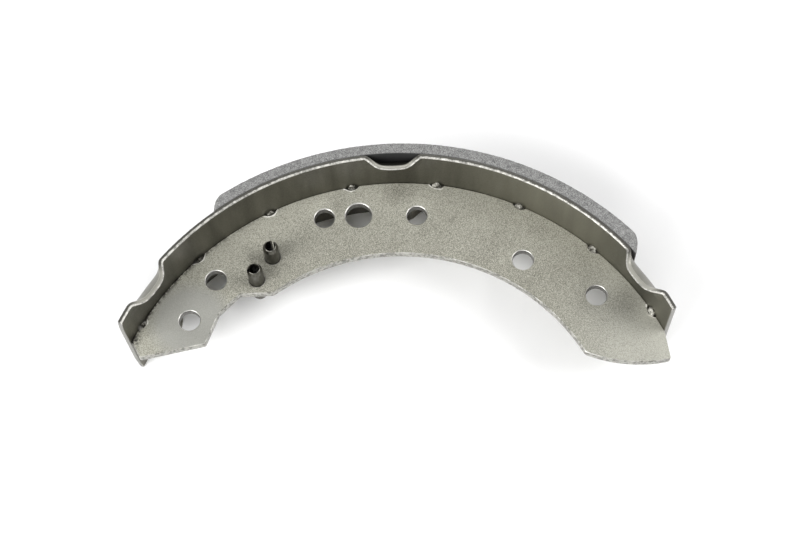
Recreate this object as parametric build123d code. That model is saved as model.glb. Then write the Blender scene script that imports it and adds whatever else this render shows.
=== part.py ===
from build123d import *
import math
import os

# Drum brake shoe: a curved steel strip (the rim) stands on edge round a flat crescent (the web),
# with a bonded friction lining outside it and two slotted spring pins pressed through the web.
# Millimetres. Everything is laid out about the drum's axis, with +Z along that axis, +Y through
# the middle of the shoe and z = 0 in the middle of the web. Bearings are degrees from +Y, positive
# towards the heel on the +X side. The finished pieces are moved so that the hold-down hole is the
# origin.

# Rim
rim_inner_radius = 106.3
rim_thickness = 1.8
rim_width = 44.6
rim_half_angle = 65.95
rim_edge_break = 0.45

# Crimps: the edge of the rim is pressed inwards at three places on each side. In plan a crimp has
# a gently bowed floor and two flanks, each with a round shoulder, a straight run and a tight bend
# at its foot. The ear beyond the toe's crimp stays pressed in a little.
crimp_depth = 5.6
crimp_floor_width = 8.0
crimp_floor_bow = 0.35
crimp_shoulder_radius = 5.0
crimp_flank_length = 6.9
crimp_foot_radius = 2.0
crimp_height = 8.6
crimp_bearing = 56.9
crimp_curve = 1.6
crimp_steps = 2
toe_ear_drop = 0.9

# Lining
lining_thickness = 4.3
lining_arc = 90.0
lining_shift = 7.85
lining_side_step = 0.3
lining_end_slope = 40.0
lining_end_radius = 7.0
grind_offset_x = 0.5
grind_offset_y = 1.9

# Web: insets are measured inwards from the inside of the rim
web_thickness = 3.2
web_depth = 29.4
heel_overhang_angle = 5.83
heel_tip_inset = 2.45
heel_edge_radius = 51.0
heel_inner_bearing = 62.15
step_bearing = -36.15
step_outer_inset = 21.7
step_outer_bearing = -43.0
toe_bend_inset = 21.4
toe_bend_bearing = -50.15
toe_inner_inset = 24.5
toe_inner_bearing = -58.6
toe_overhang_angle = 2.1
toe_tip_inset = 5.4
tip_radius = 1.2
heel_inner_radius = 2.5
step_radius = 4.0
bend_radius = 3.0
toe_relief_radius = 1.2

# Holes in the web
hold_down_diameter = 9.7
hold_down_inset = 12.4
hold_down_bearing = -8.35
spring_hole_diameter = 7.7
toe_spring_inset = 14.4
toe_spring_bearing = -55.65
toe_side_spring_inset = 11.3
toe_side_spring_bearing = -44.55
heel_side_spring_inset = 19.5
heel_side_spring_bearing = 32.95
heel_spring_inset = 12.8
heel_spring_bearing = 51.75
adjuster_hole_diameter = 7.4
toe_side_adjuster_inset = 10.5
toe_side_adjuster_bearing = -16.05
heel_side_adjuster_inset = 13.6
heel_side_adjuster_bearing = 5.15

# Projection welds between the web's outer edge and the rim
weld_count = 8
weld_pitch_angle = 17.5
weld_notch_radius = 3.4
weld_notch_depth = 1.4
weld_bead_radius = 1.4
weld_bead_sides = 8
weld_bead_height = 3.2
weld_bead_blunting = 0.7

# Slotted spring pins
pin_diameter = 5.7
pin_wall = 1.1
pin_reach = 10.0
pin_slot = 1.2
pin_chamfer = 1.5
pin_chamfer_depth = 0.7
inner_pin_inset = 21.4
inner_pin_bearing = -37.3
inner_pin_slot_bearing = -105.0
outer_pin_inset = 17.2
outer_pin_bearing = -30.9
outer_pin_slot_bearing = 20.0

half_width = rim_width / 2
rim_middle_radius = rim_inner_radius + rim_thickness / 2
rim_outer_radius = rim_inner_radius + rim_thickness
crimp_floor_angle = math.degrees(crimp_floor_width / 2 / rim_middle_radius)
crimp_half_angle = math.degrees((crimp_floor_width / 2 + crimp_flank_length) / rim_middle_radius)


def polar(radius, bearing):
    """Point at a radius and a bearing about the drum's axis."""
    turn = math.radians(bearing)
    return Vector(radius * math.sin(turn), radius * math.cos(turn))


def on_web(inset, bearing):
    """Point on the web, measured inwards from the inside of the rim."""
    return polar(rim_inner_radius - inset, bearing)


def round_arc(radius, start, end):
    """Arc about the drum's axis from one bearing to another."""
    return ThreePointArc(polar(radius, start), polar(radius, (start + end) / 2), polar(radius, end))


def bend(centre, start, end):
    """Arc round a centre from one point to another, the short way."""
    radius = (start - centre).length
    middle = centre + (start + end - 2 * centre).normalized() * radius
    return ThreePointArc(start, middle, end)


def plain_crimp_line(offset):
    """Edges of one face of the strip where a crimp hasn't begun: as many as the crimp has."""
    radius = rim_middle_radius + offset
    third = (crimp_half_angle - crimp_floor_angle) / 3
    steps = [crimp_floor_angle + third * i for i in range(4)]
    edges = [round_arc(radius, -crimp_floor_angle, crimp_floor_angle)]
    for side in (-1, 1):
        edges += [round_arc(radius, side * a, side * b) for a, b in zip(steps, steps[1:])]
    return edges


def crimp_flank(side, offset, press, drop):
    """Edges of one flank of a crimp in the middle of the shoe, worked out for the heel's side. The
    strip's middle line leaves the floor on the shoulder, runs straight, and joins the strip beyond,
    which stays pressed in by the drop, on the foot's bend. A face lies outside it by the offset."""
    floor_end = polar(rim_middle_radius - press + floor_bow(press), crimp_floor_angle)
    floor_turn = 2 * math.atan2(floor_end.Y - rim_middle_radius + press, floor_end.X)
    floor_out = Vector(-math.sin(floor_turn), math.cos(floor_turn))
    foot_out = polar(1, crimp_half_angle)
    shoulder = floor_end + floor_out * crimp_shoulder_radius
    foot = foot_out * (rim_middle_radius - drop - crimp_foot_radius)
    between = foot - shoulder
    turn = math.asin((crimp_shoulder_radius + crimp_foot_radius) / between.length)
    run = between.normalized().rotate(Axis.Z, math.degrees(turn))
    flank_out = Vector(-run.Y, run.X)
    points = [
        floor_end + floor_out * offset,
        shoulder,
        shoulder - flank_out * (crimp_shoulder_radius - offset),
        foot + flank_out * (crimp_foot_radius + offset),
        foot,
        foot_out * (rim_middle_radius - drop + offset),
    ]
    start, shoulder, leave, land, foot, end = (Vector(side * p.X, p.Y) for p in points)
    return [bend(shoulder, start, leave), Line(leave, land), bend(foot, land, end)]


def floor_bow(press):
    """How much less a crimp's floor is pressed at its ends than in its middle."""
    return crimp_floor_bow * press / crimp_depth


def crimp_line(offset, press, toe_drop):
    """Edges of one face of the strip across a crimp in the middle of the shoe."""
    toe_flank = crimp_flank(-1, offset, press, toe_drop)
    heel_flank = crimp_flank(1, offset, press, 0)
    middle = Vector(0, rim_middle_radius - press + offset)
    floor = ThreePointArc(toe_flank[0] @ 0, middle, heel_flank[0] @ 0)
    return [floor] + toe_flank + heel_flank


def rim_face_line(offset, press):
    """Edges of one face of the strip in plan."""
    edges = []
    start = -rim_half_angle
    drop = toe_drop(press)
    for middle in (-crimp_bearing, 0, crimp_bearing):
        edges.append(round_arc(rim_middle_radius - drop + offset, start, middle - crimp_half_angle))
        crimp = crimp_line(offset, press, drop) if press else plain_crimp_line(offset)
        edges += [Rot(0, 0, -middle) * edge for edge in crimp]
        start = middle + crimp_half_angle
        drop = 0
    edges.append(round_arc(rim_middle_radius + offset, start, rim_half_angle))
    return edges


def toe_drop(press):
    """How far the ear at the toe is pressed in."""
    return toe_ear_drop * press / crimp_depth


def rim_section(height, press, edge_break):
    """The rim's plan at one height."""
    offset = rim_thickness / 2 - edge_break
    inner = rim_face_line(-offset, press)
    outer = rim_face_line(offset, press)
    ends = [
        Line(polar(radius - offset, bearing), polar(radius + offset, bearing))
        for radius, bearing in (
            (rim_middle_radius - toe_drop(press), -rim_half_angle),
            (rim_middle_radius, rim_half_angle),
        )
    ]
    return Pos(0, 0, height) * make_face(Wire(inner + outer + ends).edges())


def make_rim():
    """The strip, plain in the middle of its width and crimped towards both edges."""
    levels = []
    for step in range(crimp_steps + 1):
        share = step / crimp_steps
        height = half_width - crimp_height + (crimp_height - rim_edge_break) * share
        levels.append((height, crimp_depth * share**crimp_curve, 0))
    levels.append((half_width, crimp_depth, rim_edge_break))
    both = [(-height, press, edge) for height, press, edge in reversed(levels)] + levels
    return loft([rim_section(*level) for level in both], ruled=True, clean=False)


def rounded(face, corners):
    """The face with its corners rounded, each found by the point where it was drawn."""
    for point, radius in corners:
        corner = face.vertices().sort_by_distance(point)[0]
        face = fillet(corner, radius)
    return face


def web_plate():
    """The crescent in plan, from its heel end round the inner edge to its toe end."""
    heel_start = polar(rim_inner_radius, rim_half_angle)
    heel_tip = on_web(heel_tip_inset, rim_half_angle + heel_overhang_angle)
    heel_inner = on_web(web_depth, heel_inner_bearing)
    step_inner = on_web(web_depth, step_bearing)
    step_outer = on_web(step_outer_inset, step_outer_bearing)
    toe_bend = on_web(toe_bend_inset, toe_bend_bearing)
    toe_inner = on_web(toe_inner_inset, toe_inner_bearing)
    toe_tip = on_web(toe_tip_inset, -rim_half_angle - toe_overhang_angle)
    toe_end = polar(rim_inner_radius, -rim_half_angle)
    outline = [
        Line(heel_start, heel_tip),
        RadiusArc(heel_tip, heel_inner, heel_edge_radius),
        round_arc(rim_inner_radius - web_depth, heel_inner_bearing, step_bearing),
        Line(step_inner, step_outer),
        Line(step_outer, toe_bend),
        Line(toe_bend, toe_inner),
        Line(toe_inner, toe_tip),
        Line(toe_tip, toe_end),
        round_arc(rim_inner_radius, -rim_half_angle, rim_half_angle),
    ]
    return rounded(
        make_face(Wire(outline).edges()),
        [
            (heel_tip, tip_radius),
            (heel_inner, heel_inner_radius),
            (step_inner, step_radius),
            (step_outer, tip_radius),
            (toe_bend, bend_radius),
            (toe_inner, tip_radius),
            (toe_tip, tip_radius),
        ],
    )


def weld_bearings():
    """Bearings of the welds, spread evenly about the middle of the shoe."""
    return [(i - (weld_count - 1) / 2) * weld_pitch_angle for i in range(weld_count)]


def weld_bead():
    """A squeezed-out bead: a short post with blunt ends, standing proud of both faces."""
    post = extrude(RegularPolygon(weld_bead_radius, weld_bead_sides), weld_bead_height, both=True)
    ends = post.edges().filter_by(Axis.Z, reverse=True)
    return chamfer(ends, weld_bead_blunting)


def make_web():
    """The plate with its holes, its weld notches and the bead in each notch."""
    plan = web_plate()
    holes = [
        (hold_down_inset, hold_down_bearing, hold_down_diameter),
        (toe_spring_inset, toe_spring_bearing, spring_hole_diameter),
        (toe_side_spring_inset, toe_side_spring_bearing, spring_hole_diameter),
        (heel_side_spring_inset, heel_side_spring_bearing, spring_hole_diameter),
        (heel_spring_inset, heel_spring_bearing, spring_hole_diameter),
        (toe_side_adjuster_inset, toe_side_adjuster_bearing, adjuster_hole_diameter),
        (heel_side_adjuster_inset, heel_side_adjuster_bearing, adjuster_hole_diameter),
        (inner_pin_inset, inner_pin_bearing, pin_diameter),
        (outer_pin_inset, outer_pin_bearing, pin_diameter),
    ]
    for inset, bearing, diameter in holes:
        plan -= Pos(on_web(inset, bearing)) * Circle(diameter / 2)
    notch_centre = rim_inner_radius + weld_notch_radius - weld_notch_depth
    for bearing in weld_bearings():
        plan -= Pos(polar(notch_centre, bearing)) * Circle(weld_notch_radius)
    plan -= Pos(polar(rim_inner_radius, -rim_half_angle)) * Circle(toe_relief_radius)
    web = extrude(plan, web_thickness / 2, both=True)
    room = Cylinder(rim_inner_radius, rim_width)
    for bearing in weld_bearings():
        bead = Pos(polar(rim_inner_radius - weld_notch_depth / 2, bearing)) * weld_bead()
        web += bead & room
    return web


def end_corner(foot, direction, centre, radius):
    """Where a line from a point meets a circle."""
    out = foot - centre
    along = out.dot(direction)
    return foot + direction * (math.sqrt(along**2 - out.dot(out) + radius**2) - along)


def make_lining():
    """The friction block: bonded to the rim inside, ground about an offset centre outside."""
    grind_radius = rim_outer_radius + lining_thickness + grind_offset_y
    grind_centre = Vector(grind_offset_x, -grind_offset_y)
    toe_bearing = lining_shift - lining_arc / 2
    heel_bearing = lining_shift + lining_arc / 2
    feet = [polar(rim_outer_radius, bearing) for bearing in (toe_bearing, heel_bearing)]
    leans = [polar(1, toe_bearing + lining_end_slope), polar(1, heel_bearing - lining_end_slope)]
    corners = [
        end_corner(foot, lean, grind_centre, grind_radius) for foot, lean in zip(feet, leans)
    ]
    crown = grind_centre + polar(grind_radius, lining_shift)
    outline = [
        round_arc(rim_outer_radius, toe_bearing, heel_bearing),
        Line(feet[1], corners[1]),
        ThreePointArc(corners[1], crown, corners[0]),
        Line(corners[0], feet[0]),
    ]
    block = make_face(Wire(outline).edges())
    block = rounded(block, [(corner, lining_end_radius) for corner in corners])
    return extrude(block, half_width - lining_side_step, both=True)


def make_spring_pin(inset, bearing, slot_bearing):
    """A rolled pin: a tube slit along its length, tapered at both ends."""
    reach = web_thickness / 2 + pin_reach
    radius = pin_diameter / 2
    wall = [
        (radius - pin_wall, reach),
        (radius - pin_chamfer_depth, reach),
        (radius, reach - pin_chamfer),
        (radius, pin_chamfer - reach),
        (radius - pin_chamfer_depth, -reach),
        (radius - pin_wall, -reach),
    ]
    pin = revolve(Plane.XZ * make_face(Polyline(*wall, close=True).edges()), Axis.Z)
    slit = Pos(0, radius / 2, 0) * Box(pin_slot, radius, 2 * reach)
    pin -= Rot(0, 0, -slot_bearing) * slit
    return Pos(on_web(inset, bearing)) * pin


parts = {
    "web": make_web(),
    "rim": make_rim(),
    "lining": make_lining(),
    "inner_pin": make_spring_pin(inner_pin_inset, inner_pin_bearing, inner_pin_slot_bearing),
    "outer_pin": make_spring_pin(outer_pin_inset, outer_pin_bearing, outer_pin_slot_bearing),
}
to_origin = Pos(-on_web(hold_down_inset, hold_down_bearing))
os.makedirs("parts", exist_ok=True)
for node, shape in parts.items():
    shape = to_origin * shape
    export_step(shape, f"parts/{node}.step")
    print(node, len(shape.solids()), round(shape.volume), shape.bounding_box())
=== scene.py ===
# %% [markdown]
# A drum brake shoe, lying on its side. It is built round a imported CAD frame: a flat crescent web, a
# curved strip of steel (the rim) welded on edge round it, a friction lining bonded outside the rim,
# and two slotted spring pins through the web. The frame gives every piece its place. Here each
# piece gets the edges, grain and wear that a camera sees.

# %% Load the frame
import math

import bmesh
import bpy
from mathutils import Matrix, Vector


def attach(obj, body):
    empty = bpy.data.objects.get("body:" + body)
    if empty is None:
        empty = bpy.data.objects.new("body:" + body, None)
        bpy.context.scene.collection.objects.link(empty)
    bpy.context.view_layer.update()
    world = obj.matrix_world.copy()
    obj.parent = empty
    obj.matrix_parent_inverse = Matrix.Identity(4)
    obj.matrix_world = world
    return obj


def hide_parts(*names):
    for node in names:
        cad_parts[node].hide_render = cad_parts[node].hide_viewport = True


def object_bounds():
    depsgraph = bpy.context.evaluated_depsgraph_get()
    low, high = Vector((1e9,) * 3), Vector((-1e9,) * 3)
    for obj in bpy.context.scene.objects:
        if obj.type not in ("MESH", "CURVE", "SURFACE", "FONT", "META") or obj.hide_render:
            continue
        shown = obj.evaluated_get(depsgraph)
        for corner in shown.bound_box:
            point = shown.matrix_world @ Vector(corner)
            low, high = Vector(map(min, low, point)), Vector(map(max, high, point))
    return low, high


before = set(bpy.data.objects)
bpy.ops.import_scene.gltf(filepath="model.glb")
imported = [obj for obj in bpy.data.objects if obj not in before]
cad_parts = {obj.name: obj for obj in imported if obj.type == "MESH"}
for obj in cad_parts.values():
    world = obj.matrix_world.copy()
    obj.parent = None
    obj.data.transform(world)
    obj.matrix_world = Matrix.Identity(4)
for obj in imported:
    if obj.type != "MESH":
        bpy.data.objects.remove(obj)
cad_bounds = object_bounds()
print("CAD box", [tuple(round(v, 4) for v in corner) for corner in cad_bounds])

# %% [markdown]
# The real sizes. Everything is laid out about the axis of the drum that the shoe works in, and a
# place is a radius and a bearing: degrees from the middle of the shoe, positive towards its heel on
# the right. On the web a place is given as millimetres inwards from the rim, and a bearing. The
# frame's origin is the hold-down hole, so the drum's axis lies below it and to its right.

# %% Driving sizes
MM = 0.001
rim_inner_radius = 106.3 * MM
rim_thickness = 1.8 * MM
rim_width = 44.6 * MM
rim_end_bearing = 65.95
rim_half_angle = math.radians(rim_end_bearing)
web_thickness = 3.2 * MM
web_inner_inset = 29.4
hold_down = (12.4, -8.35)
weld_count = 8
weld_pitch = 17.5
scallop_radius = 3.4 * MM
scallop_depth = 1.4 * MM
pin_reach = web_thickness / 2 + 10 * MM
rim_middle_radius = rim_inner_radius + rim_thickness / 2
rim_outer_radius = rim_inner_radius + rim_thickness
half_width = rim_width / 2
web_depth = web_inner_inset * MM
scallop_centre_radius = rim_inner_radius + scallop_radius - scallop_depth


def round_drum(radius, bearing):
    """Point at a radius and a bearing, as seen from the drum's axis."""
    return Vector((radius * math.sin(bearing), radius * math.cos(bearing), 0))


def on_web(inset, bearing):
    """Point on the web: millimetres inwards from the rim, and degrees round the drum."""
    return round_drum(rim_inner_radius - inset * MM, math.radians(bearing))


drum_axis = -on_web(*hold_down)
print("drum axis at", tuple(round(v / MM, 2) for v in drum_axis), "mm")

# %% [markdown]
# The camera looks down on the shoe from in front, as a product photographer does with the shoe on a
# table. Its place comes from fitting circles to the rim's two edges: it stands 24 degrees off the
# vertical, 571 mm from the shoe, and is turned a few degrees about its own view.

# %% Camera
camera_distance = 571.4 * MM
camera_tilt = math.radians(24.14)
camera_roll = math.radians(-3.57)
shoe_turn = math.radians(2.35)
camera_target = Vector((4.54, 72.05, 0)) * MM
focal_pixels = 1536
picture_width = 800
sensor_width = 36


def make_camera():
    """Camera at the photograph's angle, with the photograph's framing."""
    data = bpy.data.cameras.new("camera")
    data.sensor_width = sensor_width
    data.lens = focal_pixels * sensor_width / picture_width
    data.clip_start = 1 * MM
    data.clip_end = 20
    camera = bpy.data.objects.new("camera", data)
    turn = Matrix.Rotation(shoe_turn, 3, "Z")
    aim = turn @ Matrix.Rotation(camera_tilt, 3, "X") @ Matrix.Rotation(camera_roll, 3, "Z")
    camera.matrix_world = aim.to_4x4()
    camera.location = drum_axis + turn @ camera_target + aim @ Vector((0, 0, camera_distance))
    bpy.context.scene.collection.objects.link(camera)
    bpy.context.scene.camera = camera
    return camera


camera = make_camera()
print("camera at", tuple(round(v, 3) for v in camera.location), "lens", round(camera.data.lens, 1))

# %% [markdown]
# The studio: a pale table and large soft boxes. The strongest stands in front on the left, one on
# the right answers it, a low one behind clears the shadow there, and a small one in front puts the
# glint on the rolled edges. The one overhead is kept faint, so that the table stays dark behind the
# holes near the rim. The Standard view transform keeps the open table white.

# %% Studio
table_size = 8.0
table_albedo = 0.93
sky_strength = 0.06
soft_boxes = [
    ("front left", Vector((-0.86, -0.69, 0.86)), 0.90, 22.0),
    ("right", Vector((1.07, 0.00, 0.90)), 0.90, 15.5),
    ("behind", Vector((0.10, 1.19, 0.74)), 0.90, 7.0),
    ("front", Vector((0.00, -1.00, 0.97)), 0.40, 4.5),
    ("overhead", Vector((0.00, 0.00, 1.35)), 0.90, 2.0),
]


def flat_material(name, colour, roughness):
    """Plain matt paint for what isn't part of the shoe."""
    material = bpy.data.materials.new(name)
    material.use_nodes = True
    shader = material.node_tree.nodes["Principled BSDF"]
    shader.inputs["Base Color"].default_value = (*colour, 1)
    shader.inputs["Roughness"].default_value = roughness
    return material


def make_table():
    """The surface that the shoe lies on."""
    mesh = bpy.data.meshes.new("table")
    half = table_size / 2
    floor_height = cad_bounds[0].z
    corners = [(-half, -half), (half, -half), (half, half), (-half, half)]
    mesh.from_pydata([(x, y, floor_height) for x, y in corners], [], [(0, 1, 2, 3)])
    mesh.materials.append(flat_material("table paint", (table_albedo,) * 3, 0.9))
    table = bpy.data.objects.new("table", mesh)
    bpy.context.scene.collection.objects.link(table)


def make_soft_box(name, place, size, power):
    """A square soft light that looks at the shoe."""
    data = bpy.data.lights.new(name, "AREA")
    data.shape = "SQUARE"
    data.size = size
    data.energy = power
    light = bpy.data.objects.new(name, data)
    light.location = place
    light.rotation_mode = "QUATERNION"
    light.rotation_quaternion = (-place).to_track_quat("-Z", "Y")
    bpy.context.scene.collection.objects.link(light)


def make_sky():
    """Even pale light from all round."""
    world = bpy.data.worlds.new("studio")
    world.use_nodes = True
    background = world.node_tree.nodes["Background"]
    background.inputs["Color"].default_value = (1, 1, 1, 1)
    background.inputs["Strength"].default_value = sky_strength
    bpy.context.scene.world = world


make_table()
for soft_box in soft_boxes:
    make_soft_box(*soft_box)
make_sky()
bpy.context.scene.view_settings.view_transform = "Standard"
print("studio with", len(soft_boxes), "soft boxes")

# %% [markdown]
# Node trees are easier to read as sums. `Field` wraps one number inside a node tree, of a shape or
# of a material, and each sum written with it adds the Math node that does it. `node` adds any other
# node: its inputs are set by name, from plain values or from other nodes' outputs.

# %% Sums inside node trees


def node(tree, kind, inputs=None, **settings):
    """New node of a tree, with its settings and inputs."""
    made = tree.nodes.new(kind)
    for name, value in settings.items():
        setattr(made, name, value)
    for name, value in (inputs or {}).items():
        if isinstance(value, Field):
            value = value.socket
        if isinstance(value, bpy.types.NodeSocket):
            tree.links.new(value, made.inputs[name])
        else:
            made.inputs[name].default_value = value
    return made


class Field:
    """A number in a node tree."""

    def __init__(self, socket):
        self.socket = socket
        self.tree = socket.id_data

    def sum(self, operation, *others):
        inputs = dict(enumerate((self, *others)))
        return Field(node(self.tree, "ShaderNodeMath", inputs, operation=operation).outputs[0])

    def __add__(self, other):
        return self.sum("ADD", other)

    def __sub__(self, other):
        return self.sum("SUBTRACT", other)

    def __mul__(self, other):
        return self.sum("MULTIPLY", other)

    def __truediv__(self, other):
        return self.sum("DIVIDE", other)

    def __neg__(self):
        return self * -1.0

    def power(self, other):
        return self.sum("POWER", other)

    def least(self, other):
        return self.sum("MINIMUM", other)

    def most(self, other):
        return self.sum("MAXIMUM", other)

    def size(self):
        return self.sum("ABSOLUTE")

    def sign(self):
        return self.sum("SIGN")

    def root(self):
        return self.sum("SQRT")

    def sine(self):
        return self.sum("SINE")

    def cosine(self):
        return self.sum("COSINE")

    def arcsine(self):
        return self.sum("ARCSINE")

    def nearest(self):
        return self.sum("ROUND")

    def share(self, low, high):
        """0 at the low value, 1 at the high one, and held there."""
        return ((self - low) / (high - low)).most(0.0).least(1.0)


def soft_share(value, low, high):
    """As share, with the corners eased."""
    part = value.share(low, high)
    return part * part * (part * -2.0 + 3.0)


def ramp(distance, start, length):
    """A slope that grows from 0 to 1 over a length, and the height that it has climbed."""
    within = (distance - start).most(0.0)
    begun = within.least(length)
    return begun / length, begun * begun / length * 0.5 + (within - begun)


def three(tree, vector):
    """The three numbers of a vector."""
    parts = node(tree, "ShaderNodeSeparateXYZ", {0: vector})
    return [Field(socket) for socket in parts.outputs]


def joined(tree, x, y, z):
    """A vector from three numbers."""
    return node(tree, "ShaderNodeCombineXYZ", {0: x, 1: y, 2: z}).outputs[0]


def scaled(tree, vector, factor):
    """The vector made longer by a factor."""
    inputs = {0: vector, "Scale": factor}
    return node(tree, "ShaderNodeVectorMath", inputs, operation="SCALE").outputs[0]


print("each sum of fields becomes a Math node")

# %% [markdown]
# The rim strip, the lining and the spring pins are each a straight bar bent round an axis. They
# could be bent with a curve and a modifier, but a sum gives every point its exact place. So each
# tree starts from a box with many rows of faces, and the sum says where the box's points go. The
# rows crowd towards the box's ends, where the edges are rounded.

# %% Running a geometry tree

SOCKETS = {
    float: "NodeSocketFloat",
    int: "NodeSocketInt",
    Vector: "NodeSocketVector",
    bpy.types.Material: "NodeSocketMaterial",
}


def geometry_tree(name, sizes):
    """New geometry tree with one named input for each size, and those inputs as fields."""
    tree = bpy.data.node_groups.new(name, "GeometryNodeTree")
    for label, value in sizes.items():
        kind = next(socket for made, socket in SOCKETS.items() if isinstance(value, made))
        tree.interface.new_socket(label, in_out="INPUT", socket_type=kind)
    tree.interface.new_socket("Geometry", in_out="OUTPUT", socket_type="NodeSocketGeometry")
    entry = node(tree, "NodeGroupInput")
    return tree, {label: Field(entry.outputs[label]) for label in sizes}


def end_tree(tree, geometry, material):
    """Gives the geometry its material, makes it real and sends it out."""
    inputs = {"Geometry": geometry, "Material": material}
    dressed = node(tree, "GeometryNodeSetMaterial", inputs).outputs[0]
    smooth = node(tree, "GeometryNodeSetShadeSmooth", {"Geometry": dressed})
    real = node(tree, "GeometryNodeRealizeInstances", {"Geometry": smooth.outputs[0]})
    node(tree, "NodeGroupOutput", {"Geometry": real.outputs[0]})


def grow(name, tree, sizes, sharp=35):
    """Runs a tree with its sizes and returns the result as a plain mesh object."""
    piece = bpy.data.objects.new(name, bpy.data.meshes.new(name))
    bpy.context.scene.collection.objects.link(piece)
    modifier = piece.modifiers.new(tree.name, "NODES")
    modifier.node_group = tree
    sockets = [item for item in tree.interface.items_tree if item.in_out == "INPUT"]
    for socket in sockets:
        modifier[socket.identifier] = sizes[socket.name]
    evaluated = piece.evaluated_get(bpy.context.evaluated_depsgraph_get())
    mesh = bpy.data.meshes.new_from_object(evaluated)
    piece.modifiers.remove(modifier)
    piece.data = mesh
    mesh.name = name
    mesh.set_sharp_from_angle(angle=math.radians(sharp))
    print(name, len(mesh.polygons), "faces,", len(mesh.materials), "materials")
    return piece


def fine_box(tree, rows):
    """Box from -1 to 1 each way with that many rows of points, and its points' places."""
    inputs = {"Size": (2, 2, 2)}
    inputs |= {f"Vertices {axis}": count for axis, count in zip("XYZ", rows)}
    box = node(tree, "GeometryNodeMeshCube", inputs).outputs["Mesh"]
    place = node(tree, "GeometryNodeInputPosition").outputs[0]
    return box, three(tree, place)


def crowded(across):
    """Moves evenly spaced points from -1 to 1 closer together near both ends."""
    return (across * (math.pi / 2)).sine()


def crowded_ends(along, plain):
    """As crowded, but only past the plain share of the way from the middle."""
    past = (along.size() - plain).most(0.0) / (1 - plain)
    eased = along.size().least(plain) + (past * (math.pi / 2)).sine() * (1 - plain)
    return eased * along.sign()


def edge_round(to_edge, radius):
    """How far a face draws back within a radius of its edge, so that the edge is rounded."""
    inside = (radius - to_edge).most(0.0)
    return radius - (radius * radius - inside * inside).most(0.0).root()


def keep(tree, geometry, name, value):
    """Writes a number onto each point of the geometry, for a finish to read."""
    inputs = {"Geometry": geometry, "Name": name, "Value": value}
    settings = {"data_type": "FLOAT", "domain": "POINT"}
    return node(tree, "GeometryNodeStoreNamedAttribute", inputs, **settings).outputs[0]


def put(tree, geometry, x, y, z):
    """Moves each point of the geometry to its new place."""
    inputs = {"Geometry": geometry, "Position": joined(tree, x, y, z)}
    return node(tree, "GeometryNodeSetPosition", inputs).outputs[0]


def place_round_drum(tree, box, radius, forward, bearing, height):
    """Moves the box's points to their radius and bearing. Forward is a step along the strip."""
    sine = bearing.sine()
    cosine = bearing.cosine()
    x = radius * sine + cosine * forward + drum_axis.x
    y = radius * cosine - sine * forward + drum_axis.y
    return put(tree, box, x, y, height)


print("trees bend a box round the drum's axis")

# %% [markdown]
# Finishes. Pictures of metal could be wrapped round the pieces, but they stretch at bends and show
# seams. Here every finish is worked out from noise, in Object coordinates, so the grain has its
# real size on every piece and stays put when the camera moves. In most of them a Bump node makes
# the same noise tilt the light, so that the grain has relief.

# %% Building blocks of the finishes


def new_finish(name):
    """New material: its tree, its shader and its Object coordinates."""
    material = bpy.data.materials.new(name)
    material.use_nodes = True
    tree = material.node_tree
    shader = tree.nodes["Principled BSDF"]
    place = node(tree, "ShaderNodeTexCoord").outputs["Object"]
    return material, tree, shader, place


def noise(tree, place, grain, detail=2.0, roughness=0.5, stretch=None):
    """Noise from 0 to 1 whose grain is that long, in metres."""
    if stretch is not None:
        place = node(tree, "ShaderNodeMapping", {"Vector": place, "Scale": stretch}).outputs[0]
    inputs = {"Vector": place, "Scale": 1 / grain, "Detail": detail, "Roughness": roughness}
    return Field(node(tree, "ShaderNodeTexNoise", inputs).outputs[0])


def mixed(tree, share, first, second):
    """Blend of two colours, each plain or from a node."""
    made = node(tree, "ShaderNodeMix", data_type="RGBA")
    tree.links.new(share.socket, made.inputs[0])
    for slot, colour in ((6, first), (7, second)):
        if isinstance(colour, bpy.types.NodeSocket):
            tree.links.new(colour, made.inputs[slot])
        else:
            made.inputs[slot].default_value = (*colour, 1)
    return made.outputs[2]


def paint(tree, shader, colour, metal, roughness):
    """Sets the shader's colour, how metallic it is (a number or a field) and its roughness."""
    tree.links.new(colour, shader.inputs["Base Color"])
    if isinstance(metal, Field):
        tree.links.new(metal.socket, shader.inputs["Metallic"])
    else:
        shader.inputs["Metallic"].default_value = metal
    shader.inputs["Roughness"].default_value = roughness


def bumped(tree, shader, height, depth):
    """Bump of that depth, in metres, on the shader."""
    bump = node(tree, "ShaderNodeBump", {"Height": height, "Distance": depth, "Strength": 1.0})
    tree.links.new(bump.outputs[0], shader.inputs["Normal"])


def kept(tree, name):
    """The number that a geometry tree wrote onto the points."""
    found = node(tree, "ShaderNodeAttribute", attribute_name=name, attribute_type="GEOMETRY")
    return Field(found.outputs["Fac"])


def near(tree, place, centre, reach, fade):
    """1 within reach of a point of the row frame, fading to 0 over the fade."""
    apart = node(tree, "ShaderNodeVectorMath", {0: place, 1: centre}, operation="DISTANCE")
    return Field(apart.outputs["Value"]).share(reach + fade, reach)


def off_axis(tree, place):
    """How far a point lies to the right of the drum's axis, and how far above it."""
    x, y, _ = three(tree, place)
    return x - drum_axis.x, y - drum_axis.y


print("finishes are built from noise, blends, bumps and marks near a place")
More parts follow.
